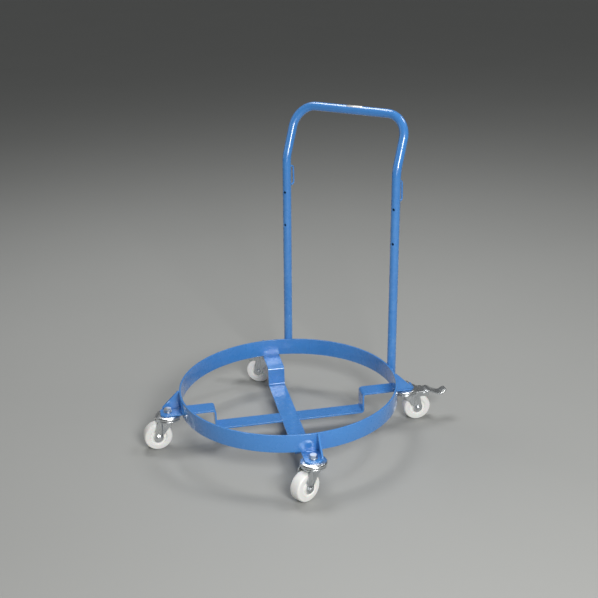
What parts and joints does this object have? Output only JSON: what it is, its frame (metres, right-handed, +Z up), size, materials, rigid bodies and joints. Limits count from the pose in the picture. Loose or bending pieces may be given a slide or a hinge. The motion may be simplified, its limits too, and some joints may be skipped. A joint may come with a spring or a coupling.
{
  "type": "drum dolly",
  "caption": "Round blue steel drum dolly: a ring on a stepped cross, swivel casters with foot brakes at the back, and a fixed bent-tube push handle.",
  "frame": {"origin": "on the ring's axis, on the top face of the cross's low middle; the floor is at z = -0.0505", "axes": "+Z up, +Y towards the push handle, +X to the right of a person who stands in front of the dolly and looks at the handle"},
  "size_m": [0.7118, 0.6828, 0.8882],
  "materials": {
    "blue_paint": "semi-gloss blue powder coat",
    "zinc_steel": "bright zinc plated",
    "white_nylon": "satin moulded polyamide",
    "label_film": "plain white film, blank"
  },
  "bodies": {
    "frame": {"drum_ring": "blue_paint", "long_cross_bar": "blue_paint", "right_cross_bar": "blue_paint", "left_cross_bar": "blue_paint", "handle_tube": "blue_paint", "right_strap_loop": "blue_paint", "left_strap_loop": "blue_paint", "blank_label": "label_film", "rear_right_gusset": "blue_paint", "rear_right_mounting_bolt": "zinc_steel", "rear_right_washer": "zinc_steel", "rear_right_upper_race": "zinc_steel", "rear_right_mounting_nut": "zinc_steel", "rear_left_gusset": "blue_paint", "rear_left_mounting_bolt": "zinc_steel", "rear_left_washer": "zinc_steel", "rear_left_upper_race": "zinc_steel", "rear_left_mounting_nut": "zinc_steel", "front_left_gusset": "blue_paint", "front_left_mounting_bolt": "zinc_steel", "front_left_washer": "zinc_steel", "front_left_upper_race": "zinc_steel", "front_left_mounting_nut": "zinc_steel", "front_right_gusset": "blue_paint", "front_right_mounting_bolt": "zinc_steel", "front_right_washer": "zinc_steel", "front_right_upper_race": "zinc_steel", "front_right_mounting_nut": "zinc_steel"},
    "rear_right_swivel": {"rear_right_fork": "zinc_steel", "rear_right_ball_ring": "zinc_steel", "rear_right_axle_sleeve": "zinc_steel", "rear_right_axle_bolt": "zinc_steel", "rear_right_axle_nut": "zinc_steel", "rear_right_brake_pin": "zinc_steel"},
    "rear_right_wheel_body": {"rear_right_wheel": "white_nylon"},
    "rear_right_pedal_body": {"rear_right_brake_pedal": "zinc_steel"},
    "rear_left_swivel": {"rear_left_fork": "zinc_steel", "rear_left_ball_ring": "zinc_steel", "rear_left_axle_sleeve": "zinc_steel", "rear_left_axle_bolt": "zinc_steel", "rear_left_axle_nut": "zinc_steel", "rear_left_brake_pin": "zinc_steel"},
    "rear_left_wheel_body": {"rear_left_wheel": "white_nylon"},
    "rear_left_pedal_body": {"rear_left_brake_pedal": "zinc_steel"},
    "front_left_swivel": {"front_left_fork": "zinc_steel", "front_left_ball_ring": "zinc_steel", "front_left_axle_sleeve": "zinc_steel", "front_left_axle_bolt": "zinc_steel", "front_left_axle_nut": "zinc_steel"},
    "front_left_wheel_body": {"front_left_wheel": "white_nylon"},
    "front_right_swivel": {"front_right_fork": "zinc_steel", "front_right_ball_ring": "zinc_steel", "front_right_axle_sleeve": "zinc_steel", "front_right_axle_bolt": "zinc_steel", "front_right_axle_nut": "zinc_steel"},
    "front_right_wheel_body": {"front_right_wheel": "white_nylon"}
  },
  "joints": [
    {"name": "rear_right_swivel_turn", "type": "hinge", "parent": "frame", "child": "rear_right_swivel", "pos_m": [0.24466, 0.24466, 0.0462], "axis": [0, 0, 1], "continuous": true},
    {"name": "rear_right_wheel_spin", "type": "hinge", "parent": "rear_right_swivel", "child": "rear_right_wheel_body", "pos_m": [0.26716, 0.26879, -0.0105], "axis": [-0.7314, 0.682, 0], "continuous": true},
    {"name": "rear_right_brake_press", "type": "hinge", "parent": "rear_right_swivel", "child": "rear_right_pedal_body", "pos_m": [0.28012, 0.28269, 0.0333], "axis": [-0.7314, 0.682, 0], "range_deg": [0, 15]},
    {"name": "rear_left_swivel_turn", "type": "hinge", "parent": "frame", "child": "rear_left_swivel", "pos_m": [-0.24636, 0.24294, 0.0462], "axis": [0, 0, 1], "continuous": true},
    {"name": "rear_left_wheel_spin", "type": "hinge", "parent": "rear_left_swivel", "child": "rear_left_wheel_body", "pos_m": [-0.27674, 0.23005, -0.0105], "axis": [0.3907, -0.9205, 0], "continuous": true},
    {"name": "rear_left_brake_press", "type": "hinge", "parent": "rear_left_swivel", "child": "rear_left_pedal_body", "pos_m": [-0.29423, 0.22263, 0.0333], "axis": [0.3907, -0.9205, 0], "range_deg": [0, 15]},
    {"name": "front_left_swivel_turn", "type": "hinge", "parent": "frame", "child": "front_left_swivel", "pos_m": [-0.24466, -0.24466, 0.0462], "axis": [0, 0, 1], "continuous": true},
    {"name": "front_left_wheel_spin", "type": "hinge", "parent": "front_left_swivel", "child": "front_left_wheel_body", "pos_m": [-0.26543, -0.27031, -0.0105], "axis": [0.7771, -0.6293, 0], "continuous": true},
    {"name": "front_right_swivel_turn", "type": "hinge", "parent": "frame", "child": "front_right_swivel", "pos_m": [0.24636, -0.24294, 0.0462], "axis": [0, 0, 1], "continuous": true},
    {"name": "front_right_wheel_spin", "type": "hinge", "parent": "front_right_swivel", "child": "front_right_wheel_body", "pos_m": [0.2395, -0.27522, -0.0105], "axis": [0.9781, -0.2079, 0], "continuous": true}
  ]
}
